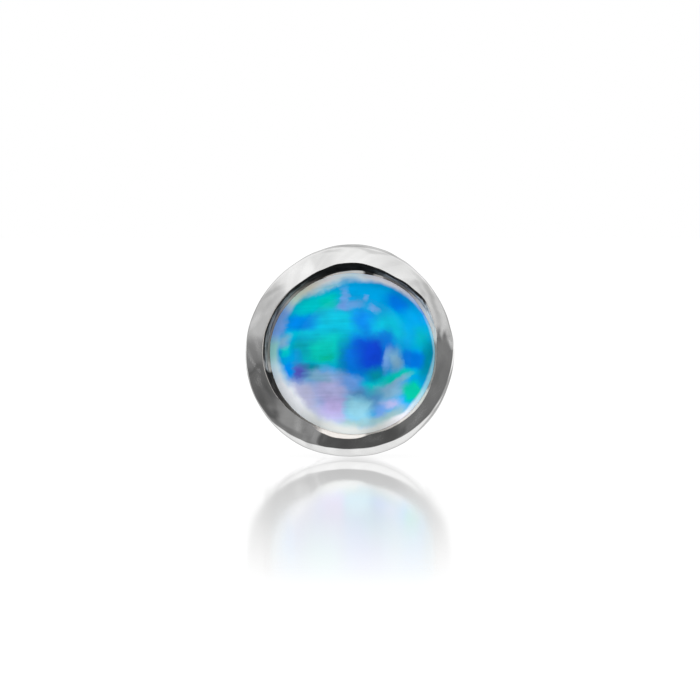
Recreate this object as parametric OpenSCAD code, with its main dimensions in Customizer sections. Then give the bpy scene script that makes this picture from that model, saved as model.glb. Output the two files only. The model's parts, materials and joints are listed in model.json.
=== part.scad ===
// Nose screw: a round stone in a tapered bezel cup, on a straight post with a curled end.
// It lies as it would on a table: on the back edge of the cup, the end of the post and the tip.

/* [Stone] */
// Width of the round stone, mm
stone_d = 2.5; // [2:0.1:4]
// Height of the stone, from its flat back to the top of its dome, mm
stone_h = 1.1; // [0.9:0.05:1.4]
// Height of the dome alone, mm
dome_h = 0.5; // [0.3:0.05:0.7]

/* [Bezel cup] */
// Thickness of the cup's wall where it is widest, mm
wall_t = 0.3; // [0.25:0.01:0.4]
// How much the cup narrows towards its back, on each side, mm
taper = 0.12; // [0.06:0.03:0.15]
// Thickness of the cup's back, mm
back_t = 0.33; // [0.25:0.01:0.4]
// How far the lip stands above the top of the dome, mm
lip_over = 0.05; // [0:0.01:0.1]
// How far the rim slopes back from the lip to the widest ring, mm
rim_drop = 0.14; // [0.11:0.01:0.18]

/* [Wire] */
// Thickness of the wire, mm
wire_d = 0.8; // [0.6:0.05:0.9]
// Length of the straight post, mm
post_l = 6.5; // [5:0.25:8]
// Radius of the bend at the end of the post, at the wire's middle, mm
bend_r = 0.6; // [0.5:0.05:0.7]
// Outer width of the curl, mm
curl_d = 2.9; // [2.8:0.1:4]
// Where the curl starts on its circle, in degrees from the right
curl_start = -15; // [-20:5:-5]
// Reach of the solder fillet around the foot of the post, mm
solder_r = 0.15; // [0.1:0.01:0.2]

/* [Hidden] */
$fn = 96;

// Gap between the stone and the metal
stone_gap = 0.02;
// How far the lip opens beyond the edge of the stone, and how far the grip reaches in over it
lip_out = 0.035;
grip_in = 0.035;
// How far the post reaches into the back of the cup, so that the two are one solid
post_sunk = 0.1;
// Radii of the rounded edges of the cup
back_round = 0.15;
side_round = 0.08;
lip_round = 0.02;
// How far a straight side runs inside the round edge that it meets, so that the two cross
tuck = 0.0005;

// The stone is flat at the back, upright at its girdle and a part of a sphere on top
stone_r = stone_d / 2;
stone_z = back_t + stone_gap;
girdle_h = stone_h - dome_h;
dome_r = (pow(stone_r, 2) + pow(dome_h, 2)) / (2 * dome_h);

// The pocket follows the stone up to the ring where the metal grips it
pocket_r = stone_r + stone_gap;
pocket_top = stone_z + girdle_h + stone_gap;
grip_r = stone_r - grip_in;
grip_slope = asin(grip_r / dome_r);
grip_z = stone_z + stone_h - dome_r * (1 - cos(grip_slope)) + stone_gap / cos(grip_slope);

cup_r = stone_r + wall_t;
cup_h = stone_z + stone_h + lip_over;

// Middles of the three rounded edges in the cup's section: [radius, height]
back_edge = [cup_r - taper - back_round, back_round];
side_edge = [cup_r - side_round, cup_h - rim_drop];
lip_edge = [stone_r + lip_out + lip_round, cup_h - lip_round];

wire_r = wire_d / 2;
curl_r = curl_d / 2 - wire_r;
curl_z = -post_l - bend_r;

// Tilt at which the back edge of the cup and a foot of this radius, at the post's end, lie level
function tilt_on(foot_r) =
    acos((foot_r - back_round) / norm([back_edge.x, post_l + back_edge.y]))
    - atan2(post_l + back_edge.y, back_edge.x);

// How far the bend dips under the end of the post at this tilt
function bend_dip(tilt) =
    bend_r * (norm([sin(tilt), cos(tilt) * cos(curl_start)]) - cos(tilt) * cos(curl_start));

foot_r = wire_r + bend_dip(tilt_on(wire_r));
rest_tilt = tilt_on(foot_r);
rest_h = post_l * sin(rest_tilt) + foot_r;

// The curl turns until its tip comes down to the level of the other two feet
curl_mid = bend_r * [-sin(curl_start), cos(curl_start)]
         - curl_r * [cos(curl_start), sin(curl_start)];
tip_y = bend_r * tan(rest_tilt) - (foot_r - wire_r) / cos(rest_tilt);
curl_turn = 180 + asin((curl_mid.y - tip_y) / curl_r) - curl_start;

// Outline of the part as it lies, measured from the middle of the cup's back
outline_x = [min(curl_mid.x - curl_r - wire_r, -cup_r), cup_r];
outline_y = [-lip_edge.y * cos(rest_tilt) - lip_edge.x * sin(rest_tilt) - lip_round,
             -curl_z * cos(rest_tilt) + (curl_mid.y + curl_r) * sin(rest_tilt) + wire_r];

// Direction, in degrees, of the outward side of the line that touches two round edges
function side_angle(from, from_r, to, to_r) =
    atan2(to.y - from.y, to.x - from.x) - acos((from_r - to_r) / norm(to - from));

// Point of a round edge that faces the given direction
function edge_point(middle, r, angle) = middle + r * [cos(angle), sin(angle)];

// Lays the part down, with its face to the front and the origin under its middle
module at_rest() {
    middle = [outline_x[0] + outline_x[1], outline_y[0] + outline_y[1]] / 2;
    translate([-middle.x, -middle.y, rest_h]) rotate([90 - rest_tilt, 0, 0]) children();
}

// Half section of the cup: tapered wall, sloped rim, lip, inner wall and pocket for the stone
module cup_section() {
    wall = side_angle(back_edge, back_round, side_edge, side_round);
    rim = side_angle(side_edge, side_round, lip_edge, lip_round);
    grip = [grip_r, grip_z];
    inner = side_angle(lip_edge, lip_round, grip, 0);
    polygon([
        [0, 0],
        [back_edge.x, 0],
        edge_point(back_edge, back_round - tuck, wall),
        edge_point(side_edge, side_round - tuck, wall),
        edge_point(side_edge, side_round - tuck, rim),
        edge_point(lip_edge, lip_round - tuck, rim),
        lip_edge,
        edge_point(lip_edge, lip_round - tuck, inner),
        grip,
        [pocket_r, pocket_top],
        [pocket_r, back_t],
        [0, back_t]
    ]);
    translate(back_edge) circle(back_round);
    translate(side_edge) circle(side_round);
    translate(lip_edge) circle(lip_round);
}

// Half section of the concave ring of solder where the post meets the back of the cup
module solder_section() {
    difference() {
        translate([wire_r / 2, -solder_r]) square([wire_r / 2 + solder_r - tuck, solder_r + post_sunk]);
        translate([wire_r + solder_r - tuck, tuck - solder_r]) circle(solder_r);
    }
}

module bezel_cup() {
    rotate_extrude() cup_section();
    rotate_extrude() solder_section();
}

module post() {
    translate([0, 0, -post_l]) cylinder(r = wire_r, h = post_l + post_sunk);
}

// Quarter turn of the wire, from the post into the plane of the curl
module bend() {
    translate([0, bend_r, -post_l]) rotate([-90, 0, -90])
        rotate_extrude(angle = 90) translate([bend_r, 0]) circle(wire_r);
}

// Most of a circle of wire, with a rounded tip whose poles lie along the wire
module curl() {
    translate([-curl_r, bend_r, curl_z]) {
        rotate_extrude(angle = curl_turn) translate([curl_r, 0]) circle(wire_r);
        rotate(curl_turn) translate([curl_r, 0, 0]) rotate([90, 0, 0]) sphere(wire_r);
    }
}

module bezel_screw() {
    color("gainsboro") at_rest() {
        bezel_cup();
        rotate(curl_start) {
            post();
            bend();
            curl();
        }
    }
}

module opal() {
    color("deepskyblue") at_rest() translate([0, 0, stone_z]) rotate_extrude()
        intersection() {
            square([stone_r, stone_h]);
            translate([0, stone_h - dome_r]) circle(dome_r);
        }
}

bezel_screw();
opal();
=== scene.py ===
"""A nose screw: a round opal in a tapered bezel cup, on a wire post with a curled end.

The metal is one lathed and swept mesh and the stone is another. Both are drawn in the frame of the
head, whose origin is the middle of the cup's back: x to the right, y up and z towards the viewer.
"""
import json
from collections import namedtuple
from math import acos, asin, atan2, cos, degrees, hypot, pi, radians, sin, sqrt, tan

import bmesh
import bpy
from mathutils import Matrix, Vector


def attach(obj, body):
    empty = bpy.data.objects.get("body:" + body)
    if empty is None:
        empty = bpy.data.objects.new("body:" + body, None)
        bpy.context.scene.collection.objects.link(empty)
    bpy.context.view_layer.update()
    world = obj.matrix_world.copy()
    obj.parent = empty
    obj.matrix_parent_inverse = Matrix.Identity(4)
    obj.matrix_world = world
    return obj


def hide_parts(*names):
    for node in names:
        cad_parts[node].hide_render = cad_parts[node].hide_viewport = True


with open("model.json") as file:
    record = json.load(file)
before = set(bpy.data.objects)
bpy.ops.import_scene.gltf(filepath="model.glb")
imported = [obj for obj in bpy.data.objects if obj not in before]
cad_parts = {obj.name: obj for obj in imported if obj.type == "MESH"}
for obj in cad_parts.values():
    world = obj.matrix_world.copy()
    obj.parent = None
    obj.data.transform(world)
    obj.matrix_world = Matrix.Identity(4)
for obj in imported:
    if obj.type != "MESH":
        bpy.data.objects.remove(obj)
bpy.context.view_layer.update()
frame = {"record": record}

# Millimetres to metres, and back
MM = 0.001
PER_MM = 1 / MM

# Stone, in millimetres
STONE_R = 1.25
STONE_H = 1.1
DOME_H = 0.5

# Bezel cup, in millimetres
WALL_T = 0.3
TAPER = 0.12
BACK_T = 0.33
LIP_OVER = 0.05
BACK_ROUND = 0.15
LIP_ROUND = 0.004
STONE_GAP = 0.02

# Direction in which the polished rim faces, in degrees from the level of the cup's back, and how far it
# is dished, in millimetres
RIM_FACES = 71.0
RIM_DISH = 0.0006
# Gap between the metal that is rubbed down and the dome
FOLD_GAP = 0.004

# The hand-rubbed rim by clock angle, in degrees from the right. In millimetres: the radius of the widest
# ring, of the round edge behind the rim, of the lip and of the fold over the stone, and the width of the
# bevel on this fold
Rubbed = namedtuple("Rubbed", "angle widest edge lip fold bevel")
RUBBED = (
    Rubbed(0, 1.550, 0.045, 1.296, 1.227, 0.060),
    Rubbed(15, 1.522, 0.040, 1.309, 1.222, 0.060),
    Rubbed(33, 1.513, 0.040, 1.323, 1.211, 0.050),
    Rubbed(47, 1.521, 0.040, 1.285, 1.218, 0.030),
    Rubbed(60, 1.545, 0.050, 1.254, 1.208, 0.025),
    Rubbed(72, 1.571, 0.070, 1.262, 1.197, 0.025),
    Rubbed(85, 1.582, 0.080, 1.279, 1.191, 0.040),
    Rubbed(98, 1.576, 0.070, 1.272, 1.194, 0.028),
    Rubbed(110, 1.558, 0.060, 1.244, 1.202, 0.012),
    Rubbed(125, 1.537, 0.045, 1.227, 1.209, 0.025),
    Rubbed(140, 1.533, 0.040, 1.242, 1.220, 0.030),
    Rubbed(155, 1.538, 0.040, 1.258, 1.234, 0.030),
    Rubbed(172, 1.551, 0.040, 1.279, 1.238, 0.025),
    Rubbed(190, 1.560, 0.030, 1.286, 1.230, 0.040),
    Rubbed(208, 1.570, 0.030, 1.277, 1.222, 0.020),
    Rubbed(222, 1.579, 0.050, 1.259, 1.214, 0.020),
    Rubbed(234, 1.584, 0.110, 1.243, 1.208, 0.020),
    Rubbed(244, 1.585, 0.145, 1.236, 1.205, 0.025),
    Rubbed(251, 1.580, 0.160, 1.295, 1.206, 0.080),
    Rubbed(262, 1.573, 0.165, 1.323, 1.210, 0.100),
    Rubbed(274, 1.573, 0.165, 1.326, 1.216, 0.100),
    Rubbed(286, 1.585, 0.165, 1.303, 1.224, 0.060),
    Rubbed(300, 1.591, 0.155, 1.329, 1.229, 0.080),
    Rubbed(320, 1.563, 0.105, 1.341, 1.229, 0.095),
    Rubbed(342, 1.553, 0.060, 1.319, 1.233, 0.070),
)

# Wire, in millimetres and degrees. With this turn the tip of the curl comes down to the floor
WIRE_R = 0.4
POST_L = 6.5
BEND_R = 0.6
CURL_R = 1.05
CURL_START = -15
CURL_TURN = 241.9
SOLDER_R = 0.15

# Sides of every ring of a lathed or swept mesh
SIDES = 192
# Steps of the cup's mesh, from the foot of the post to the pocket
SOLDER_STEPS = 10
BACK_STEPS = 6
BACK_EDGE_STEPS = 14
WALL_STEPS = 10
SIDE_EDGE_STEPS = 24
RIM_STEPS = 14
LIP_STEPS = 12
DOWN_STEPS = 12
BEVEL_STEPS = 4
# How many times closer to the lip the rim's last ring lies than the others lie to each other
CLOSER = 8
# Steps of the wire's mesh, from its tip to the foot of the post
TIP_STEPS = 14
CURL_STEPS = 130
BEND_STEPS = 26
POST_STEPS = 30
# Steps of the stone's mesh, and the direction in which the dome's last ring faces, in degrees
GIRDLE_STEPS = 8
DOME_STEPS = 60
DOME_END = 89
# Name of the metal's mesh attribute that holds the depth down the inner wall, and its value where the
# lip's round edge ends
DEPTH = "depth"
LIP_DEPTH = 0.04

# Camera: where it stands around the object, in degrees, its lens and sensor, and the view's width
AZIMUTH = 5.5
ELEVATION = 2.0
LENS = 200
SENSOR = 36
VIEW_WIDTH = 10.34

# Derived sizes of the stone and the cup
DOME_R = (STONE_R**2 + DOME_H**2) / (2 * DOME_H)
STONE_Z = BACK_T + STONE_GAP
STONE_TOP = STONE_Z + STONE_H
POCKET_R = STONE_R + STONE_GAP
CUP_R = STONE_R + WALL_T
CUP_H = STONE_TOP + LIP_OVER
BACK_EDGE = (CUP_R - TAPER - BACK_ROUND, BACK_ROUND)
# Height of the cup's widest ring, at whose middle the camera aims
WIDEST_Z = 1.36


def dome_height(radius):
    """Height of the stone's dome above the cup's back, at this distance from its axis."""
    return STONE_TOP - DOME_R + sqrt(DOME_R**2 - radius**2)


def head_frame():
    """The head's frame in the scene, from the mount on the cup's back."""
    mount = next(m for m in frame["record"]["mounts"] if m["name"] == "cup_back")
    forward = -Vector(mount["axis"]).normalized()
    right = Vector((1, 0, 0))
    up = forward.cross(right)
    turn = Matrix((right, up, forward)).transposed().to_4x4()
    return Matrix.Translation(Vector(mount["pos_m"])) @ turn


def smooth(low, high, value):
    """0 below low, 1 above high and a smooth rise between them."""
    t = min(1.0, max(0.0, (value - low) / (high - low)))
    return t * t * (3 - 2 * t)


# Outlines in the half section, as (radius, height) in millimetres


def side_angle(start, start_r, end, end_r):
    """Direction, in degrees, of the outward side of the line that touches two round edges."""
    run, rise = end[0] - start[0], end[1] - start[1]
    return degrees(atan2(rise, run) - acos((start_r - end_r) / hypot(run, rise)))


def arc(middle, radius, start, end, steps):
    """Points of an arc, from one direction to the other."""
    turns = [radians(start + (end - start) * i / steps) for i in range(steps + 1)]
    return [(middle[0] + radius * cos(a), middle[1] + radius * sin(a)) for a in turns]


def between(start, end, steps, bulge=0.0):
    """Points on the way from one point to another, without the two, on a low arch."""
    run, rise = end[0] - start[0], end[1] - start[1]
    length = hypot(run, rise)
    points = []
    for i in range(1, steps):
        t = i / steps
        lift = bulge * 4 * t * (1 - t) / length
        points.append((start[0] + run * t + rise * lift, start[1] + rise * t - run * lift))
    return points


def rubbed_at(angle):
    """The rim at this clock angle, in degrees, on a smooth way between the rows of the table."""
    rows = (*RUBBED, RUBBED[0]._replace(angle=360))
    low, high = next(pair for pair in zip(rows, rows[1:]) if pair[1].angle >= angle)
    share = smooth(low.angle, high.angle, angle)
    return Rubbed(*[a + (b - a) * share for a, b in zip(low, high)])


def cup_outline(rim):
    """Half section of the cup from the foot of the post, round the wall and the rim, to the pocket.

    Every point has its depth too: 0 outside, 0 to 1 round the lip and down the inner wall, and 1 to 2
    down the bevel.
    """
    lip_middle = (rim.lip + LIP_ROUND, CUP_H - LIP_ROUND)
    lip_top = arc(lip_middle, LIP_ROUND, RIM_FACES, RIM_FACES, 1)[0]
    ridge_r = rim.widest - rim.edge * (1 - cos(radians(RIM_FACES)))
    ridge_z = lip_top[1] - (ridge_r - lip_top[0]) / tan(radians(RIM_FACES))
    side_middle = (rim.widest - rim.edge, ridge_z - rim.edge * sin(radians(RIM_FACES)))
    fold = (rim.fold, dome_height(rim.fold) + FOLD_GAP)
    fold_top = (fold[0] + rim.bevel, fold[1] + rim.bevel)

    wall = side_angle(BACK_EDGE, BACK_ROUND, side_middle, rim.edge)
    inner = side_angle(lip_middle, LIP_ROUND, fold_top, 0)
    solder = arc((WIRE_R + SOLDER_R, -SOLDER_R), SOLDER_R, 180, 90, SOLDER_STEPS)
    back = arc(BACK_EDGE, BACK_ROUND, -90, wall, BACK_EDGE_STEPS)
    side = arc(side_middle, rim.edge, wall, RIM_FACES, SIDE_EDGE_STEPS)
    lip = arc(lip_middle, LIP_ROUND, RIM_FACES, inner, LIP_STEPS)
    close_to_lip = between(lip[0], side[-1], CLOSER * RIM_STEPS)[0]
    outside = [
        *solder,
        *between(solder[-1], back[0], BACK_STEPS),
        *back,
        *between(back[-1], side[0], WALL_STEPS),
        *side,
        *between(side[-1], lip[0], RIM_STEPS, -RIM_DISH),
        close_to_lip,
    ]
    down = between(lip[-1], fold_top, DOWN_STEPS)
    bevel = [fold_top, *between(fold_top, fold, BEVEL_STEPS), fold]
    pocket = [(POCKET_R, fold[1] - 2 * STONE_GAP), (POCKET_R, BACK_T), (POCKET_R / 2, BACK_T)]
    return [
        *[(*point, 0.0) for point in outside],
        *[(*point, LIP_DEPTH * i / LIP_STEPS) for i, point in enumerate(lip)],
        *[(*point, (i + 1) / DOWN_STEPS) for i, point in enumerate(down)],
        *[(*point, 1 + i / BEVEL_STEPS) for i, point in enumerate(bevel)],
        *[(*point, 2.0) for point in pocket],
    ]


def stone_outline():
    """The stone from the middle of its flat back, up the girdle and over the dome."""
    edge = degrees(asin(STONE_R / DOME_R))
    dome = arc((0, STONE_TOP - DOME_R), DOME_R, 90 - edge, DOME_END, DOME_STEPS)
    girdle = (STONE_R, STONE_Z)
    return [(STONE_R / 2, STONE_Z), girdle, *between(girdle, dome[0], GIRDLE_STEPS), *dome]


# Rings and meshes


def cup_rings():
    """The rings of the cup and, for every point of them, its depth down the inner wall."""
    outlines = [cup_outline(rubbed_at(360 * i / SIDES)) for i in range(SIDES)]
    turns = [2 * pi * i / SIDES for i in range(SIDES)]
    rings, depths = [], []
    for row in zip(*outlines):
        rings.append([Vector((r * cos(a), r * sin(a), z)) for a, (r, z, _) in zip(turns, row)])
        depths.append([depth for _, _, depth in row])
    return rings, depths


def wire_ring(middle, across, along, radius=WIRE_R):
    """One ring of the wire, in the plane of two unit vectors."""
    turns = [2 * pi * i / SIDES for i in range(SIDES)]
    return [middle + radius * (across * cos(a) + along * sin(a)) for a in turns]


def wire_rings():
    """The rings of the wire, from its rounded tip to the foot of the post."""
    right, up, forward = Vector((1, 0, 0)), Vector((0, 1, 0)), Vector((0, 0, 1))
    curl_mid = Vector((-CURL_R, BEND_R, -POST_L - BEND_R))
    bend_mid = Vector((0, BEND_R, -POST_L))
    rings = []

    def out_of_curl(turn):
        return right * cos(turn) + up * sin(turn)

    end = radians(CURL_TURN)
    onward = up * cos(end) - right * sin(end)
    for i in range(1, TIP_STEPS):
        turn = radians(90 * i / TIP_STEPS)
        middle = curl_mid + CURL_R * out_of_curl(end) + onward * WIRE_R * cos(turn)
        rings.append(wire_ring(middle, out_of_curl(end), forward, WIRE_R * sin(turn)))
    tip = curl_mid + CURL_R * out_of_curl(end) + onward * WIRE_R

    for i in range(CURL_STEPS):
        turn = end * (1 - i / CURL_STEPS)
        rings.append(wire_ring(curl_mid + CURL_R * out_of_curl(turn), out_of_curl(turn), forward))

    for i in range(BEND_STEPS):
        turn = radians(90 * (1 - i / BEND_STEPS))
        inward = up * cos(turn) + forward * sin(turn)
        rings.append(wire_ring(bend_mid - BEND_R * inward, right, inward))

    for i in range(POST_STEPS):
        height = -POST_L + (POST_L - SOLDER_R) * i / POST_STEPS
        rings.append(wire_ring(forward * height, right, up))

    turn = Matrix.Rotation(radians(CURL_START), 3, "Z")
    return turn @ tip, [[turn @ p for p in ring] for ring in rings]


def mesh_object(name, rings, first, last):
    """A closed smooth mesh in the scene's frame, from rings of points in the head's, in millimetres.

    A single point closes each end. The vertices are in the order of the rings, then the two points.
    """
    place = head_frame()
    made = bmesh.new()
    loops = [[made.verts.new(place @ (p * MM)) for p in ring] for ring in rings]
    poles = [made.verts.new(place @ (p * MM)) for p in (first, last)]
    for low, high in zip(loops, loops[1:]):
        for i in range(SIDES):
            j = (i + 1) % SIDES
            made.faces.new((low[i], low[j], high[j], high[i]))
    for i in range(SIDES):
        j = (i + 1) % SIDES
        made.faces.new((poles[0], loops[0][j], loops[0][i]))
        made.faces.new((poles[1], loops[-1][i], loops[-1][j]))
    bmesh.ops.recalc_face_normals(made, faces=made.faces)
    mesh = bpy.data.meshes.new(name)
    made.to_mesh(mesh)
    made.free()
    mesh.shade_smooth()
    piece = bpy.data.objects.new(name, mesh)
    bpy.context.scene.collection.objects.link(piece)
    return piece


def add_metal():
    """Cup, solder, post, bend and curl, soldered into one. Its depth attribute marks the inner wall."""
    tip, wire = wire_rings()
    cup, depths = cup_rings()
    # The wire is turned on its axis, so the cup's rings start at the same angle as the wire's
    turned = int(SIDES * CURL_START / 360)
    cup, depths = [[ring[turned:] + ring[:turned] for ring in rows] for rows in (cup, depths)]
    metal = mesh_object("bezel_screw_metal", wire + cup, tip, Vector((0, 0, BACK_T)))
    values = [0.0] * (len(wire) * SIDES) + [depth for row in depths for depth in row] + [0.0, 2.0]
    metal.data.attributes.new(DEPTH, "FLOAT", "POINT").data.foreach_set("value", values)
    return metal


def add_stone():
    """The domed opal."""
    turns = [2 * pi * i / SIDES for i in range(SIDES)]
    rings = [[Vector((r * cos(a), r * sin(a), z)) for a in turns] for r, z in stone_outline()]
    return mesh_object("opal_stone", rings, Vector((0, 0, STONE_Z)), Vector((0, 0, STONE_TOP)))


# Materials


class Graph:
    """Adds nodes to one node tree. Inputs are numbers, colours or the outputs of other nodes."""

    def __init__(self, tree):
        self.tree = tree
        tree.nodes.clear()

    def node(self, kind, inputs=None, **settings):
        made = self.tree.nodes.new(kind)
        for key, value in settings.items():
            setattr(made, key, value)
        for key, value in (inputs or {}).items():
            self.feed(made.inputs[key], value)
        return made

    def feed(self, socket, value):
        if isinstance(value, bpy.types.NodeSocket):
            self.tree.links.new(value, socket)
        else:
            socket.default_value = value

    def math(self, operation, *values):
        return self.node("ShaderNodeMath", dict(enumerate(values)), operation=operation).outputs[0]

    def vector(self, operation, *values):
        node = self.node("ShaderNodeVectorMath", dict(enumerate(values)), operation=operation)
        return node.outputs["Value" if operation in ("LENGTH", "DOT_PRODUCT") else "Vector"]

    def split(self, vector):
        return self.node("ShaderNodeSeparateXYZ", {"Vector": vector}).outputs

    def join(self, x, y, z):
        return self.node("ShaderNodeCombineXYZ", {"X": x, "Y": y, "Z": z}).outputs[0]

    def scaled(self, vector, factor):
        node = self.node("ShaderNodeVectorMath", {0: vector, "Scale": factor}, operation="SCALE")
        return node.outputs["Vector"]

    def mix_value(self, factor, below, above):
        node = self.node("ShaderNodeMix", data_type="FLOAT")
        self.feed(node.inputs[0], factor)
        self.feed(node.inputs[2], below)
        self.feed(node.inputs[3], above)
        return node.outputs[0]

    def mix_vector(self, factor, below, above):
        node = self.node("ShaderNodeMix", data_type="VECTOR")
        self.feed(node.inputs[0], factor)
        self.feed(node.inputs[4], below)
        self.feed(node.inputs[5], above)
        return node.outputs[1]

    def step(self, value, low, high, to_low=0.0, to_high=1.0):
        """A smooth change from one tone to another, while the value goes from low to high."""
        inputs = {"Value": value, "From Min": low, "From Max": high, "To Min": to_low, "To Max": to_high}
        return self.node("ShaderNodeMapRange", inputs, interpolation_type="SMOOTHSTEP").outputs[0]

    def linear(self, value, low, high):
        """An even change from 0 to 1, while the value goes from low to high."""
        inputs = {"Value": value, "From Min": low, "From Max": high}
        return self.node("ShaderNodeMapRange", inputs).outputs[0]

    def noise(self, vector, scale=1.0, detail=2.0, roughness=0.5):
        inputs = {"Vector": vector, "Scale": scale, "Detail": detail, "Roughness": roughness}
        return self.node("ShaderNodeTexNoise", inputs).outputs

    def centred(self, noise):
        """A noise on both sides of 0."""
        return self.math("SUBTRACT", noise, 0.5)

    def spread(self, noise, to_low, to_high):
        """A noise spread smoothly from one value to another. Most of it lies between 0.3 and 0.7."""
        return self.step(noise, 0.3, 0.7, to_low, to_high)

    def mix(self, factor, below, above, blend="MIX"):
        node = self.node("ShaderNodeMix", data_type="RGBA", blend_type=blend)
        self.feed(node.inputs[0], factor)
        self.feed(node.inputs[6], below)
        self.feed(node.inputs[7], above)
        return node.outputs[2]

    def ramp(self, value, stops, low=0.0, high=1.0):
        """Brightness or colour from a table of (place, tone), where place runs from low to high."""
        node = self.node("ShaderNodeValToRGB", {"Fac": self.linear(value, low, high)})
        points = node.color_ramp.elements
        for _ in range(len(stops) - 2):
            points.new(0.5)
        for point, (place, tone) in zip(points, stops):
            point.position = (place - low) / (high - low)
            point.color = (*tone, 1) if isinstance(tone, tuple) else (tone, tone, tone, 1)
        return node.outputs["Color"]


def new_material(name):
    """A material with an empty graph, and the millimetre coordinates of the head's frame."""
    material = bpy.data.materials.new(name)
    material.use_nodes = True
    graph = Graph(material.node_tree)
    head = head_frame()
    inputs = {
        "Vector": graph.node("ShaderNodeTexCoord").outputs["Object"],
        "Location": head.translation,
        "Rotation": head.to_euler(),
        "Scale": (MM, MM, MM),
    }
    return material, graph, graph.node("ShaderNodeMapping", inputs, vector_type="TEXTURE").outputs[0]


def finish_material(graph, shader):
    """Makes this shader the material's surface."""
    graph.node("ShaderNodeOutputMaterial", {"Surface": shader.outputs[0]})


def clock_angle(graph, place):
    """Direction from the head's axis, in degrees from the right."""
    x, y, _ = graph.split(place)
    angle = graph.math("DEGREES", graph.math("ARCTAN2", y, x))
    return graph.math("WRAP", angle, 360.0, 0.0)


# Painted shade and painted highlights on the inner wall by clock angle, in degrees: how pale it is in a
# thin line along the lip, near the lip, lower down and on the bevel. The dark tones are painted shade in
# the recess, the pale tones are painted reflections, and the line along the lip and the pale bevel are
# painted highlights. A ramp takes no more than 32 rows
Wall = namedtuple("Wall", "angle line lip lower bevel")
WALL_TONES = (
    Wall(0, 0.09, 0.09, 0.14, 0.30),
    Wall(7, 0.09, 0.10, 0.15, 0.30),
    Wall(10, 0.55, 0.60, 0.65, 0.65),
    Wall(29, 0.55, 0.55, 0.65, 0.65),
    Wall(33, 0.03, 0.03, 0.50, 0.60),
    Wall(44, 0.02, 0.02, 0.22, 0.40),
    Wall(50, 0.02, 0.02, 0.14, 0.16),
    Wall(67, 0.02, 0.02, 0.12, 0.14),
    Wall(69, 0.02, 0.02, 0.08, 0.60),
    Wall(73, 0.02, 0.02, 0.04, 0.50),
    Wall(76, 0.012, 0.012, 0.012, 0.03),
    Wall(82, 0.012, 0.012, 0.012, 0.03),
    Wall(84, 0.012, 0.012, 0.012, 0.75),
    Wall(108, 0.012, 0.012, 0.012, 0.60),
    Wall(112, 0.012, 0.012, 0.012, 0.03),
    Wall(130, 0.02, 0.02, 0.08, 0.16),
    Wall(140, 0.30, 0.03, 0.22, 0.40),
    Wall(155, 0.50, 0.03, 0.17, 0.22),
    Wall(185, 0.50, 0.03, 0.17, 0.20),
    Wall(188, 0.35, 0.24, 0.26, 0.35),
    Wall(192, 0.40, 0.24, 0.26, 0.35),
    Wall(194, 0.45, 0.02, 0.02, 0.02),
    Wall(216, 0.15, 0.03, 0.04, 0.06),
    Wall(244, 0.06, 0.06, 0.15, 0.20),
    Wall(248, 0.40, 0.40, 0.40, 0.45),
    Wall(250, 0.60, 0.60, 0.60, 0.65),
    Wall(279, 0.60, 0.60, 0.60, 0.65),
    Wall(281, 0.08, 0.06, 0.15, 0.30),
    Wall(302, 0.08, 0.06, 0.22, 0.40),
    Wall(305, 0.50, 0.50, 0.50, 0.60),
    Wall(333, 0.50, 0.50, 0.50, 0.60),
    Wall(337, 0.09, 0.09, 0.14, 0.30),
)
# Depths down the wall at which the lower tone and the bevel's tone set in
LOWER_FROM = (0.32, 0.5)
BEVEL_FROM = (0.95, 1.05)
# Blots in the painted wall shade to the millimetre, and how far they push its borders: around, in degrees,
# and down
BLOTS = 9.0
BLOTS_AROUND = 7.0
BLOTS_DOWN = 0.9
# Streaks in the painted wall shade to the radian and to the wall's depth, and how they darken and lighten
# it
STREAKS_AROUND = 7.0
STREAKS_DOWN = 5.0
STREAK_TONES = (0.4, 1.9)
# A warm tinge that offsets the blue light from the opal
WARM = (1.0, 0.95, 0.9, 1)


def painted_wall_light(graph, place, depth):
    """How pale the inner wall is, from the table, with blots and streaks: painted shade in the recess,
    painted reflections and painted highlights.
    """
    blots = graph.centred(graph.noise(place, BLOTS, detail=3.0)["Fac"])
    ragged = graph.math("MULTIPLY_ADD", blots, BLOTS_AROUND, clock_angle(graph, place))
    line, at_lip, lower, bevel = [
        graph.ramp(ragged, [(row.angle, getattr(row, part)) for row in WALL_TONES], 0, 360)
        for part in ("line", "lip", "lower", "bevel")
    ]
    outward = graph.vector("NORMALIZE", graph.vector("MULTIPLY", place, (1, 1, 0)))
    x, y, _ = graph.split(graph.scaled(outward, STREAKS_AROUND))
    down = graph.math("MULTIPLY", depth, STREAKS_DOWN)
    streaks = graph.noise(graph.join(x, y, down), detail=3.0)["Fac"]
    lower = graph.scaled(lower, graph.spread(streaks, *STREAK_TONES))
    ragged_depth = graph.math("MULTIPLY_ADD", blots, BLOTS_DOWN, depth)
    tone = graph.mix(graph.step(ragged_depth, *LOWER_FROM), at_lip, lower)
    # The thin pale line along the lip is a painted highlight
    tone = graph.mix(graph.step(depth, LIP_DEPTH, 2 * LIP_DEPTH), line, tone)
    tone = graph.mix(graph.step(depth, *BEVEL_FROM), tone, bevel)
    return graph.mix(1.0, tone, WARM, "MULTIPLY")
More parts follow.
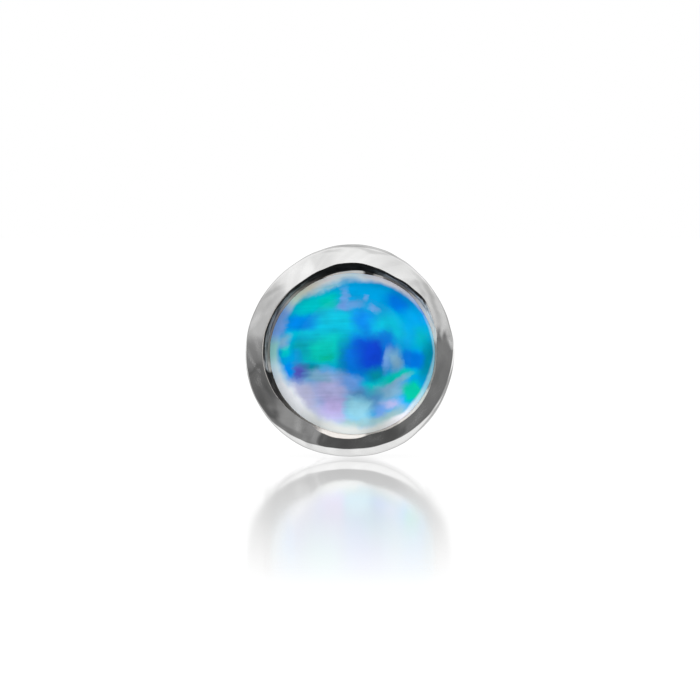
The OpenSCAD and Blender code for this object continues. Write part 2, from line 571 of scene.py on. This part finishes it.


# Marks on the rim: their clock angle in degrees, distance from the axis, half length and half width in
# millimetres, turn in degrees, and how matt and pale (above 0) or how dark (below 0) they are. The pale
# ones are matt patches of hand polishing; the dark ones are painted dark streaks of reflection in the
# polish
Mark = namedtuple("Mark", "angle radius length width turn tone")
MARKS = (
    Mark(4, 1.500, 0.09, 0.028, -14, 0.25),
    Mark(9, 1.420, 0.055, 0.020, 12, -0.45),
    Mark(10, 1.335, 0.085, 0.025, 12, -0.55),
    Mark(17, 1.46, 0.16, 0.020, 14, 0.06),
    Mark(31, 1.43, 0.38, 0.028, 9, -0.25),
    Mark(40, 1.37, 0.16, 0.025, 12, -0.12),
    Mark(72, 1.52, 0.16, 0.022, -8, -0.22),
    Mark(88, 1.53, 0.20, 0.020, 6, -0.28),
    Mark(101, 1.50, 0.12, 0.018, 10, -0.15),
    Mark(122, 1.40, 0.18, 0.060, 30, 0.05),
    Mark(144, 1.45, 0.17, 0.028, 24, -0.20),
    Mark(150, 1.37, 0.20, 0.030, 10, -0.10),
    Mark(161, 1.45, 0.16, 0.040, 28, 0.10),
    Mark(178, 1.36, 0.14, 0.030, -20, 0.06),
    Mark(188, 1.43, 0.17, 0.020, -25, 0.07),
    Mark(193, 1.47, 0.10, 0.020, 60, -0.20),
    Mark(200, 1.41, 0.08, 0.060, 30, 0.04),
    Mark(206, 1.34, 0.16, 0.030, 0, -0.20),
    Mark(212, 1.50, 0.16, 0.040, 0, -0.22),
    Mark(221, 1.440, 0.11, 0.035, 26, -0.30),
    Mark(230, 1.500, 0.24, 0.030, -6, -0.35),
    Mark(237, 1.37, 0.12, 0.045, 62, 0.07),
    Mark(246, 1.45, 0.10, 0.040, 62, -0.20),
    Mark(268, 1.40, 0.08, 0.080, 0, -0.12),
    Mark(286, 1.38, 0.12, 0.030, 10, 0.02),
    Mark(297, 1.40, 0.08, 0.080, 0, -0.12),
    Mark(316, 1.44, 0.16, 0.030, -10, 0.03),
    Mark(334, 1.42, 0.10, 0.060, 20, 0.015),
    Mark(348, 1.38, 0.16, 0.035, 10, -0.10),
)
# Distance from the axis at which the marks' lengths are measured, how far they waver across the rim, and
# the heights between which they fade in
MARKS_R = 1.43
MARKS_WAVER = 0.08
MARKS_FROM = (1.15, 1.2)


def patch(graph, place, middle, size, turn, softness):
    """1 inside a soft square with round corners and 0 outside, from its middle, half size and turn."""
    inputs = {
        "Vector": place,
        "Location": (*middle, 0),
        "Rotation": (0, 0, radians(turn)),
        "Scale": (*size, 1),
    }
    own = graph.node("ShaderNodeMapping", inputs, vector_type="TEXTURE").outputs[0]
    square = graph.vector("MULTIPLY", own, own)
    far = graph.math("POWER", graph.vector("DOT_PRODUCT", square, square), 0.25)
    return graph.step(far, 1 - softness, 1 + softness, 1.0, 0.0)


def rub_marks_and_painted_streaks(graph, place, radius, rubs):
    """How much paler or darker the rim is than its plain polish, from the table of marks: matt patches, and
    painted dark streaks of reflection.
    """
    along = graph.math("MULTIPLY", clock_angle(graph, place), radians(MARKS_R))
    across = graph.math("MULTIPLY_ADD", graph.centred(rubs), MARKS_WAVER, radius)
    unrolled = graph.join(along, across, 0.0)
    marks = 0.0
    for mark in MARKS:
        middle = (radians(mark.angle) * MARKS_R, mark.radius)
        cover = patch(graph, unrolled, middle, (mark.length, mark.width), mark.turn, 1.0)
        marks = graph.math("MULTIPLY_ADD", cover, mark.tone, marks)
    return graph.math("MULTIPLY", marks, graph.step(graph.split(place)[2], *MARKS_FROM))


# Colour of the white gold, at its darkest and its palest
GOLD_DARK = (0.88, 0.88, 0.875, 1)
GOLD_PALE = (0.95, 0.95, 0.945, 1)
# How often the polish waves and is rubbed around the axis, to the radian, and how much its traces slant
WAVES = 4.0
RUBS = 6.0
SLANT = 1.6
# How much the rubbed places darken and lighten the metal
RUB_TONES = (0.94, 1.02)
# Fine lines of the polish: how often to the radian around, how often to the millimetre across, how high
# they are beside the waves, and how far the cup's side shifts them with its height
LINES_AROUND = 1.6
LINES_ACROSS = 28.0
LINES_HEIGHT = 0.035
SIDE_SHIFT = 1.3
# Height in millimetres of the waves, and the heights behind the cup between which they give way to the
# wire's clouds
BUMP_H = 0.005
WIRE_TO = (-0.3, 0.0)
# Clouds in the polish, to the millimetre, and the roughness that they vary and that of the inner wall with
# its painted shade
CLOUDS = 2.0
POLISH_ROUGH = (0.08, 0.14)
INNER_WALL_ROUGH = 0.5


def slanted(graph, around, radius, often):
    """Even coordinates for waves that run across the rim on a slant."""
    inputs = {"Vector": around, "Angle": graph.math("MULTIPLY", radius, SLANT)}
    turned = graph.node("ShaderNodeVectorRotate", inputs, rotation_type="Z_AXIS").outputs[0]
    x, y, _ = graph.split(graph.scaled(turned, often))
    return graph.join(x, y, radius)


def fine_lines(graph, around, track):
    """Fine lines that run around the axis."""
    x, y, _ = graph.split(graph.scaled(around, LINES_AROUND))
    across = graph.math("MULTIPLY", track, LINES_ACROSS)
    return graph.noise(graph.join(x, y, across), detail=3.0)["Fac"]


def white_gold():
    """Polished white gold with soft slanted waves and fine rubbed lines, matt marks and painted dark
    streaks on the rim, and painted shade and highlights on the inner wall.
    """
    material, graph, place = new_material("white_gold")
    x, y, height = graph.split(place)
    flat = graph.join(x, y, 0.0)
    around = graph.vector("NORMALIZE", flat)
    radius = graph.vector("LENGTH", flat)
    track = graph.math("MULTIPLY_ADD", height, SIDE_SHIFT, radius)
    waves = graph.noise(slanted(graph, around, track, WAVES), detail=1.0)["Fac"]
    rubs = graph.noise(slanted(graph, around, track, RUBS))["Fac"]
    lines = fine_lines(graph, around, track)
    clouds = graph.noise(place, CLOUDS, detail=1.0)["Fac"]

    cup_grain = graph.math("MULTIPLY_ADD", lines, LINES_HEIGHT, waves)
    grain = graph.mix_value(graph.step(height, *WIRE_TO), clouds, cup_grain)
    bump = graph.node("ShaderNodeBump", {"Height": grain, "Strength": 1.0, "Distance": BUMP_H * MM})
    metal = graph.scaled(graph.mix(lines, GOLD_DARK, GOLD_PALE), graph.spread(rubs, *RUB_TONES))
    marks = rub_marks_and_painted_streaks(graph, place, radius, rubs)
    # The dark marks darken the base colour: painted dark streaks of reflection on the rim
    metal = graph.scaled(metal, graph.math("ADD", graph.math("MINIMUM", marks, 0.0), 1.0))

    depth = graph.node("ShaderNodeAttribute", attribute_name=DEPTH).outputs["Fac"]
    on_wall = graph.step(depth, 0.0, LIP_DEPTH / 4)
    matt = graph.math("MAXIMUM", marks, on_wall)
    rough = graph.spread(clouds, *POLISH_ROUGH)
    shader = graph.node(
        "ShaderNodeBsdfPrincipled",
        {
            # The inner wall's base colour is painted shade and painted highlights, on a matt wall
            "Base Color": graph.mix(on_wall, metal, painted_wall_light(graph, place, depth)),
            "Metallic": graph.math("SUBTRACT", 1.0, matt),
            "Roughness": graph.mix_value(on_wall, rough, INNER_WALL_ROUGH),
            "Specular IOR Level": 0.0,
            "Normal": bump.outputs[0],
        },
    )
    finish_material(graph, shader)
    return material


# Colours of the opal, as red, green and blue from 0 to 255
COLOURS = {
    "azure": (0, 163, 228),
    "cyan": (0, 196, 226),
    "turquoise": (0, 200, 206),
    "sea_green": (0, 198, 186),
    "green": (0, 192, 162),
    "teal": (0, 146, 168),
    "blue": (0, 118, 222),
    "bright_blue": (0, 142, 240),
    "deep_blue": (0, 78, 214),
    "royal": (10, 68, 210),
    "steel": (86, 148, 200),
    "periwinkle": (108, 160, 230),
    "haze": (98, 164, 228),
    "violet": (86, 92, 192),
    "lavender": (176, 180, 226),
    "lilac": (186, 176, 228),
    "dove": (188, 190, 222),
    "mist": (126, 176, 208),
    "aqua": (146, 210, 232),
    "rose": (186, 194, 228),
    "milk": (238, 242, 246),
    "cream": (226, 224, 208),
    "ivory": (202, 206, 204),
    "frost": (152, 186, 190),
    "lagoon": (0, 172, 188),
    "blush": (232, 232, 240),
    "mint": (208, 232, 220),
    "pale_blue": (206, 230, 242),
    "sky": (124, 168, 234),
    "foam": (150, 208, 206),
}
# How bright the flakes are beside the palette, in the middle and at the edge, and the distances from the
# middle between which that changes, in millimetres. The brighter edge is painted light against the shade
# that the cup's wall casts on the dome's edge
OPAL_TONE = 0.58
EDGE_TONE = 1.35
TONE_RISE = (0.7, 1.25)
# How much of the level strokes shows as streaks of tone, on the left and on the right of this border
STREAK_SHARE = (0.2, 0.05)
STREAK_BORDER = (-0.1, 0.3)
# Clouds in the opal to the millimetre, and how strong they are
OPAL_CLOUDS = 5.0
OPAL_CLOUDED = 0.25
# Painted glow: emission on the milky edge that stands in for light that comes through the stone and leaves
# it there
GLOW = 0.25
# Where the stone's edge shows, in millimetres
EDGE_R = 1.225

# The opal's flakes, the lowest first, in millimetres and degrees: where the middle is, half the width and
# the height, the turn, and how soft the outline is
Flake = namedtuple("Flake", "colour x y half_x half_y turn softness")
FLAKES = (
    Flake("aqua", -0.38, 0.98, 0.24, 0.06, 20, 0.9),
    Flake("turquoise", -0.53, 0.70, 0.32, 0.15, 8, 0.6),
    Flake("sea_green", -0.36, 0.74, 0.10, 0.09, 0, 0.9),
    Flake("cyan", -0.22, 0.44, 0.30, 0.16, 0, 0.6),
    Flake("bright_blue", -0.78, 0.40, 0.22, 0.10, 3, 0.6),
    Flake("cyan", -0.72, 0.25, 0.28, 0.06, 0, 0.8),
    Flake("turquoise", -0.27, 0.14, 0.24, 0.13, 0, 0.7),
    Flake("sea_green", -0.42, -0.03, 0.28, 0.18, 0, 0.6),
    Flake("green", -0.37, -0.12, 0.08, 0.04, 0, 1.0),
    Flake("lagoon", -0.76, 0.04, 0.12, 0.12, 0, 0.8),
    Flake("azure", -0.86, -0.10, 0.10, 0.10, 0, 0.7),
    Flake("teal", -0.60, -0.27, 0.13, 0.05, -3, 0.8),
    Flake("azure", 0.17, 0.62, 0.20, 0.12, -30, 0.8),
    Flake("bright_blue", 0.22, 0.42, 0.18, 0.13, -35, 0.6),
    Flake("haze", -0.10, 0.78, 0.06, 0.14, 12, 0.7),
    Flake("haze", -0.02, 0.67, 0.17, 0.05, 10, 0.7),
    Flake("periwinkle", -0.13, 0.67, 0.06, 0.05, 20, 0.8),
    Flake("haze", 0.21, 0.80, 0.03, 0.05, -15, 0.8),
    Flake("haze", 0.34, 0.62, 0.085, 0.040, -42, 0.6),
    Flake("blue", 0.68, 0.74, 0.17, 0.12, -42, 0.7),
    Flake("cyan", 0.56, 0.33, 0.20, 0.20, 20, 0.7),
    Flake("lagoon", 1.04, 0.22, 0.11, 0.13, 0, 1.0),
    Flake("teal", 1.12, -0.10, 0.08, 0.24, -5, 0.9),
    Flake("teal", -0.08, -0.15, 0.08, 0.26, 0, 0.9),
    Flake("deep_blue", 0.27, -0.07, 0.26, 0.26, -3, 0.45),
    Flake("blue", 0.06, -0.17, 0.14, 0.24, 0, 1.0),
    Flake("royal", 0.36, -0.07, 0.20, 0.20, 20, 1.0),
    Flake("blue", 0.56, 0.10, 0.09, 0.16, 16, 0.9),
    Flake("blue", 0.92, -0.12, 0.17, 0.12, 0, 0.45),
    Flake("periwinkle", 0.56, -0.14, 0.035, 0.16, -8, 0.8),
    Flake("mist", 0.67, -0.16, 0.075, 0.14, 8, 0.9),
    Flake("teal", 0.40, -0.37, 0.13, 0.09, 20, 0.9),
    Flake("turquoise", 0.36, -0.58, 0.14, 0.10, 10, 0.7),
    Flake("mist", 0.60, -0.58, 0.20, 0.11, 28, 0.7),
    Flake("sea_green", 0.70, -0.39, 0.24, 0.06, 20, 0.6),
    Flake("mist", 0.72, -0.44, 0.16, 0.03, 30, 0.8),
    Flake("green", 0.92, -0.57, 0.14, 0.12, 25, 0.4),
    Flake("steel", 0.36, -0.76, 0.12, 0.13, 20, 0.8),
    Flake("lavender", 0.60, -0.77, 0.12, 0.05, 14, 1.0),
    Flake("periwinkle", 0.46, -0.90, 0.09, 0.08, 20, 0.7),
    Flake("mist", 0.68, -0.90, 0.14, 0.06, 32, 0.9),
    Flake("steel", 0.10, -0.64, 0.14, 0.08, 0, 0.8),
    Flake("rose", -0.38, -0.97, 0.36, 0.12, -22, 0.8),
    Flake("frost", 0.10, -1.06, 0.30, 0.07, 3, 0.8),
    Flake("frost", 0.54, -1.01, 0.26, 0.09, 30, 0.8),
    Flake("dove", -0.72, -0.68, 0.27, 0.22, -15, 0.6),
    Flake("lavender", -0.28, -0.57, 0.25, 0.22, -15, 0.6),
    Flake("mist", -0.48, -0.38, 0.20, 0.06, -5, 0.8),
    Flake("lilac", -0.25, -0.84, 0.17, 0.15, -10, 0.6),
    Flake("periwinkle", 0.00, -0.47, 0.15, 0.09, -15, 0.7),
    Flake("aqua", 0.11, -0.86, 0.19, 0.16, -15, 0.5),
    Flake("violet", -0.77, -0.33, 0.10, 0.11, -20, 0.8),
    Flake("bright_blue", -0.92, -0.27, 0.07, 0.11, 15, 0.5),
    Flake("turquoise", -0.97, 0.02, 0.08, 0.07, 0, 0.6),
    Flake("mist", -1.01, 0.17, 0.09, 0.09, -10, 0.8),
    Flake("periwinkle", -1.06, 0.38, 0.06, 0.08, -20, 0.8),
)


def srgb(name):
    """A named colour in linear light."""
    tones = [c / 255 for c in COLOURS[name]]
    return (*[t / 12.92 if t <= 0.04045 else ((t + 0.055) / 1.055) ** 2.4 for t in tones], 1)


def with_flake(graph, place, below, flake):
    """Lays one flake over what is below it: a soft square with round corners."""
    size = (flake.half_x, flake.half_y)
    cover = patch(graph, place, (flake.x, flake.y), size, flake.turn, flake.softness)
    return graph.mix(cover, below, srgb(flake.colour))


# The opal's milky edge by clock angle: its width in millimetres and its colour. It is the stone's own pale
# rim and
# partly painted light: it is wider and paler at the top, where the wall shades the dome
Edge = namedtuple("Edge", "angle width colour")
MILKY_EDGE = (
    Edge(0, 0.02, "aqua"),
    Edge(15, 0.035, "aqua"),
    Edge(30, 0.035, "periwinkle"),
    Edge(53, 0.085, "blush"),
    Edge(74, 0.13, "blush"),
    Edge(90, 0.17, "pale_blue"),
    Edge(108, 0.15, "milk"),
    Edge(124, 0.16, "cream"),
    Edge(138, 0.12, "mint"),
    Edge(150, 0.11, "sky"),
    Edge(166, 0.15, "sky"),
    Edge(175, 0.13, "foam"),
    Edge(182, 0.13, "foam"),
    Edge(192, 0.16, "pale_blue"),
    Edge(205, 0.19, "milk"),
    Edge(228, 0.22, "milk"),
    Edge(245, 0.16, "ivory"),
    Edge(270, 0.13, "ivory"),
    Edge(290, 0.10, "ivory"),
    Edge(310, 0.06, "blush"),
    Edge(335, 0.05, "aqua"),
    Edge(348, 0.045, "aqua"),
    Edge(360, 0.02, "aqua"),
)
# Between which shares of its width the edge gives way to the flakes, how much it hides where it is
# thickest, and how often its border waves to the millimetre
EDGE_FADE = (0.5, 1.35)
EDGE_COVER = 0.96
EDGE_WAVES = 4.0


def milky_edge(graph, place, colour):
    """Lays the milky edge over the colour, with a softly waving inner border, and also gives it alone for
    its painted glow.
    """
    angle = clock_angle(graph, place)
    width = graph.ramp(angle, [(row.angle, row.width) for row in MILKY_EDGE], 0, 360)
    pale = graph.ramp(angle, [(row.angle, srgb(row.colour)[:3]) for row in MILKY_EDGE], 0, 360)
    x, y, _ = graph.split(place)
    radius = graph.vector("LENGTH", graph.join(x, y, 0.0))
    waves = graph.centred(graph.noise(place, EDGE_WAVES)["Fac"])
    inside = graph.math("DIVIDE", graph.math("SUBTRACT", EDGE_R, radius), width)
    cover = graph.step(graph.math("ADD", waves, inside), *EDGE_FADE, EDGE_COVER, 0.0)
    return graph.mix(cover, colour, pale), graph.mix(cover, (0, 0, 0, 1), pale)


# Strokes in the opal. Level ones, to the millimetre along and across them, and ones around the middle, to
# the radian along and to the millimetre across. How far they drag the flakes, in millimetres
LEVEL_STROKES = (1.5, 20.0)
ROUND_STROKES = (1.5, 14.0)
LEVEL_DRAG = 0.1
ROUND_DRAG = 0.08
# How far to the right of the middle the round strokes take over from the level ones, in millimetres
STROKES_BORDER = (0.0, 0.4)
# How often the flakes' outlines waver to the millimetre, and how far, in millimetres
WAVERS = 2.6
WAVER = 0.2
# Facets in the opal to the millimetre, and how much each evens out the colour inside it
FACETS = 6.0
FACET_SHARE = 0.08


def opal_strokes(graph, x, y, radius):
    """Two noises that make strokes: level, and around the middle."""
    along, across = LEVEL_STROKES
    places = graph.join(graph.math("MULTIPLY", x, along), graph.math("MULTIPLY", y, across), 0.0)
    level = graph.centred(graph.noise(places)["Fac"])
    along, across = ROUND_STROKES
    turn = graph.math("ARCTAN2", y, x)
    places = graph.join(graph.math("MULTIPLY", turn, along), graph.math("MULTIPLY", radius, across), 5.0)
    return level, graph.centred(graph.noise(places)["Fac"])


def stroked(graph, flat, level, around):
    """Drags places along fine strokes: level ones on the left, and ones around the middle on the right."""
    x, y, _ = graph.split(flat)
    on_right = graph.step(x, *STROKES_BORDER)
    on_left = graph.math("SUBTRACT", 1.0, on_right)
    along_level = graph.math("MULTIPLY", level, graph.math("MULTIPLY", on_left, LEVEL_DRAG))
    along_around = graph.math("MULTIPLY", around, graph.math("MULTIPLY", on_right, ROUND_DRAG))
    back = graph.math("MULTIPLY", y, -1.0)
    tangent = graph.vector("NORMALIZE", graph.join(back, x, 0.0))
    dragged = graph.vector("ADD", flat, graph.join(along_level, 0.0, 0.0))
    return graph.vector("ADD", dragged, graph.scaled(tangent, along_around))


def wavering(graph, flat, places):
    """Moves places about, so that the flakes get natural outlines and small facets."""
    noise = graph.noise(flat, WAVERS, detail=5.0, roughness=0.65)
    drift = graph.vector("SUBTRACT", noise["Color"], (0.5, 0.5, 0.5))
    moved = graph.vector("ADD", places, graph.scaled(drift, WAVER))
    cells = graph.node("ShaderNodeTexVoronoi", {"Vector": moved, "Scale": FACETS}).outputs
    x, y, _ = graph.split(graph.mix_vector(FACET_SHARE, moved, cells["Position"]))
    return graph.join(x, y, 0.0)


def opal():
    """Flakes of colour under a clear polished dome, brightened towards the edge by painted light, with a
    milky edge that has a painted glow.
    """
    material, graph, place = new_material("opal")
    x, y, _ = graph.split(place)
    flat = graph.join(x, y, 0.0)
    radius = graph.vector("LENGTH", flat)
    level, around = opal_strokes(graph, x, y, radius)
    places = wavering(graph, flat, stroked(graph, flat, level, around))
    colour = srgb("azure")
    for flake in FLAKES:
        colour = with_flake(graph, places, colour, flake)

    streaks = graph.math("MULTIPLY", level, graph.step(x, *STREAK_BORDER, *STREAK_SHARE))
    clouds = graph.centred(graph.noise(flat, OPAL_CLOUDS)["Fac"])
    clouds = graph.math("MULTIPLY", clouds, OPAL_CLOUDED)
    # Painted light: the flakes brighten towards the edge, against the shade of the cup's wall
    tone = graph.step(radius, *TONE_RISE, OPAL_TONE, EDGE_TONE)
    tone = graph.math("ADD", graph.math("ADD", streaks, clouds), tone)
    colour, milk = milky_edge(graph, place, graph.scaled(colour, tone))
    shader = graph.node(
        "ShaderNodeBsdfPrincipled",
        {
            "Base Color": colour,
            "Roughness": 0.3,
            "Specular IOR Level": 0.0,
            "Coat Weight": 0.2,
            "Coat Roughness": 0.1,
            "Coat IOR": 1.45,
            # Emission on the milky edge: a painted glow that stands in for light through the stone
            "Emission Color": milk,
            "Emission Strength": GLOW,
        },
    )
    finish_material(graph, shader)
    return material


# Stage: floor, backdrop, light and camera

# Brightness that shiny things mirror, by height above the horizon in degrees: in front on the left, in
# the middle and on the right, beside the head, and behind. The steps make the rim's white and grey areas.
LEFT = (
    (-90, 0.86),
    (-38, 0.9),
    (-33, 0.22),
    (-13, 0.3),
    (-9.5, 0.125),
    (5.5, 0.125),
    (8, 0.2),
    (16.5, 0.23),
    (18.5, 0.5),
    (36, 0.55),
    (39.5, 0.85),
    (46, 0.93),
    (60, 0.95),
    (68, 0.6),
    (90, 0.6),
)
CENTRE = (
    (-90, 0.86),
    (-38, 0.9),
    (-33, 0.08),
    (-10, 0.1),
    (20, 0.17),
    (38, 0.6),
    (46, 0.72),
    (50, 0.8),
    (56, 0.97),
    (60, 0.95),
    (68, 0.6),
    (90, 0.6),
)
RIGHT = (
    (-90, 0.86),
    (-38, 0.9),
    (-33, 0.15),
    (17.0, 0.17),
    (18.4, 0.6),
    (43.5, 0.64),
    (46.5, 0.86),
    (54, 0.95),
    (60, 0.95),
    (68, 0.6),
    (90, 0.6),
)
BESIDE = (
    (-90, 0.8),
    (-27, 0.9),
    (-21, 0.4),
    (-6, 0.4),
    (-1, 1.0),
    (8, 1.0),
    (14, 0.4),
    (30, 0.4),
    (45, 0.55),
    (90, 0.55),
)
BEHIND = (
    (-90, 0.85),
    (-45, 0.8),
    (-22, 0.35),
    (-8, 0.4),
    (-1, 1.0),
    (8, 1.0),
    (14, 0.35),
    (26, 0.3),
    (36, 0.6),
    (90, 0.6),
)
# Borders of these areas, as parts of the mirrored direction: to the right, to either side and to the back
LEFT_BORDER = (-0.38, -0.34)
RIGHT_BORDER = (0.24, 0.28)
BESIDE_BORDER = (0.75, 0.9)
BEHIND_BORDER = (0.0, 0.5)
BACKDROP = (1, 1, 1, 1)
# The light that falls on matt things from all sides
SOFT_LIGHT = (2.0, 2.0, 2.0, 1)

# How much the floor mirrors where it is seen nearly flat, by the height of the mirrored point on the head
# in millimetres, and how rough it is at heights 0 and 1
MIRROR = (
    (0.0, 0.55),
    (0.3, 0.52),
    (0.6, 0.465),
    (0.9, 0.41),
    (1.2, 0.3),
    (1.35, 0.255),
    (1.5, 0.205),
    (1.65, 0.16),
    (1.8, 0.1),
    (2.0, 0.03),
    (2.15, 0.0),
)
MIRROR_ROUGH = (0.02, 0.1)
# Up to these distances in front of the head, in millimetres, the floor mirrors only what lies within this
# radius of the head's middle, with a soft border
CLOSE = (4, 8)
MIRROR_R = 1.68
MIRROR_SOFT = 0.15
# How flat the floor has to be seen, from 0 to 1, before it mirrors and until it does so fully
SEEN_FLAT = (0.8, 0.95)
# Half the floor's width in metres, its own brightness, and its colour where the head's shadow falls on it
FLOOR_HALF = 0.5
FLOOR_GLOW = 0.95
FLOOR_MATT = (0.05, 0.05, 0.05, 1)
# Two soft square lights, in metres and watts: name, place, size and power
Softbox = namedtuple("Softbox", "name place size power")
SOFTBOXES = (
    Softbox("top_softbox", (-0.01, -0.03, 0.06), 0.05, 0.004),
    Softbox("front_softbox", (0.02, -0.08, 0.02), 0.05, 0.004),
)


def studio():
    """A white backdrop, soft light from all sides, and what shiny things mirror."""
    world = bpy.data.worlds.new("studio")
    bpy.context.scene.world = world
    world.use_nodes = True
    graph = Graph(world.node_tree)
    direction = graph.node("ShaderNodeTexCoord").outputs["Generated"]
    x, y, z = graph.split(direction)
    height = graph.math("DEGREES", graph.math("ARCSINE", z))
    left, centre, right, beside, behind = [
        graph.ramp(height, stops, -90, 90) for stops in (LEFT, CENTRE, RIGHT, BESIDE, BEHIND)
    ]
    front = graph.mix(graph.step(x, *LEFT_BORDER), left, centre)
    front = graph.mix(graph.step(x, *RIGHT_BORDER), front, right)
    front = graph.mix(graph.step(graph.math("ABSOLUTE", x), *BESIDE_BORDER), front, beside)
    mirrored = graph.mix(graph.step(y, *BEHIND_BORDER), front, behind)
    path = graph.node("ShaderNodeLightPath").outputs
    colour = graph.mix(path["Is Glossy Ray"], SOFT_LIGHT, mirrored)
    colour = graph.mix(path["Is Camera Ray"], colour, BACKDROP)
    background = graph.node("ShaderNodeBackground", {"Color": colour, "Strength": 1.0})
    graph.node("ShaderNodeOutputWorld", {"Surface": background.outputs[0]})


def camera_place():
    """Where the camera stands, what it aims at and the way back from there to it."""
    turn, rise = radians(AZIMUTH), radians(ELEVATION)
    back = Vector((sin(turn) * cos(rise), -cos(turn) * cos(rise), sin(rise)))
    aim = head_frame() @ Vector((0, 0, WIDEST_Z * MM))
    return aim + back * (VIEW_WIDTH * MM * LENS / SENSOR), aim, back


def mirror_share(graph, place):
    """How much the floor mirrors at this place, and how rough it is there.

    Both follow the point of the head that is mirrored here as seen from the camera's own place. They
    are fixed on the floor, and don't move with the view.
    """
    camera, head, _ = [PER_MM * v for v in camera_place()]
    x, y, _ = graph.split(place)
    reach = graph.math("DIVIDE", head.y - camera.y, graph.math("SUBTRACT", y, camera.y))
    across = graph.math("MULTIPLY_ADD", graph.math("SUBTRACT", x, camera.x), reach, camera.x)
    height = graph.math("MULTIPLY", graph.math("SUBTRACT", reach, 1.0), camera.z)
    off = graph.vector("SUBTRACT", graph.join(across, 0.0, height), (head.x, 0.0, head.z))
    near = graph.step(graph.vector("LENGTH", off), MIRROR_R - MIRROR_SOFT, MIRROR_R, 1.0, 0.0)
    far = graph.step(y, head.y - CLOSE[1], head.y - CLOSE[0], 1.0, 0.0)
    mask = graph.math("MAXIMUM", near, far)
    flat_on = graph.node("ShaderNodeLayerWeight", {"Blend": 0.5}).outputs["Facing"]
    mask = graph.math("MULTIPLY", mask, graph.step(flat_on, *SEEN_FLAT))
    share = graph.math("MULTIPLY", mask, graph.ramp(height, MIRROR, 0.0, MIRROR[-1][0]))
    return share, graph.mix_value(height, *MIRROR_ROUGH)


def add_floor():
    """A pale matt floor, polished in front of the head, which the metal doesn't mirror back."""
    made = bmesh.new()
    bmesh.ops.create_grid(made, x_segments=8, y_segments=8, size=FLOOR_HALF)
    mesh = bpy.data.meshes.new("floor")
    made.to_mesh(mesh)
    made.free()
    floor = bpy.data.objects.new("floor", mesh)
    bpy.context.scene.collection.objects.link(floor)
    floor.visible_glossy = False

    material = bpy.data.materials.new("floor")
    material.use_nodes = True
    graph = Graph(material.node_tree)
    place = graph.scaled(graph.node("ShaderNodeTexCoord").outputs["Object"], PER_MM)
    share, rough = mirror_share(graph, place)
    pale = graph.node("ShaderNodeEmission", {"Color": (1, 1, 1, 1), "Strength": FLOOR_GLOW})
    matt = graph.node("ShaderNodeBsdfDiffuse", {"Color": FLOOR_MATT})
    plain = graph.node("ShaderNodeAddShader")
    graph.feed(plain.inputs[0], pale.outputs[0])
    graph.feed(plain.inputs[1], matt.outputs[0])
    gloss = graph.node("ShaderNodeBsdfGlossy", {"Color": (1, 1, 1, 1), "Roughness": rough})
    surface = graph.node("ShaderNodeMixShader", {0: share})
    graph.feed(surface.inputs[1], plain.outputs[0])
    graph.feed(surface.inputs[2], gloss.outputs[0])
    graph.node("ShaderNodeOutputMaterial", {"Surface": surface.outputs[0]})
    mesh.materials.append(material)
    return floor


def add_softbox(softbox):
    """A square soft light that faces the head. The metal doesn't mirror it."""
    light = bpy.data.lights.new(softbox.name, "AREA")
    light.shape = "SQUARE"
    light.size = softbox.size
    light.energy = softbox.power
    lamp = bpy.data.objects.new(softbox.name, light)
    bpy.context.scene.collection.objects.link(lamp)
    lamp.location = softbox.place
    aim = head_frame().translation - Vector(softbox.place)
    lamp.rotation_euler = aim.to_track_quat("-Z", "Y").to_euler()
    lamp.visible_camera = False
    lamp.visible_glossy = False


def add_camera():
    """A long lens, a little to the right of the head and a little above it."""
    place, _, back = camera_place()
    data = bpy.data.cameras.new("camera")
    data.lens = LENS
    data.sensor_width = SENSOR
    data.clip_start = MM
    data.clip_end = 10
    camera = bpy.data.objects.new("camera", data)
    bpy.context.scene.collection.objects.link(camera)
    camera.location = place
    camera.rotation_euler = (-back).to_track_quat("-Z", "Y").to_euler()
    bpy.context.scene.camera = camera


def build():
    """The two pieces on their body, and the stage around them."""
    for piece, node, slot, material in (
        (add_metal(), "bezel_screw", "white_gold", white_gold()),
        (add_stone(), "opal", "opal", opal()),
    ):
        piece.data.materials.append(material)
        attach(piece, "root")
        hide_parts(node)
    add_floor()
    for softbox in SOFTBOXES:
        add_softbox(softbox)
    add_camera()
    studio()
    bpy.context.scene.view_settings.view_transform = "Standard"


build()
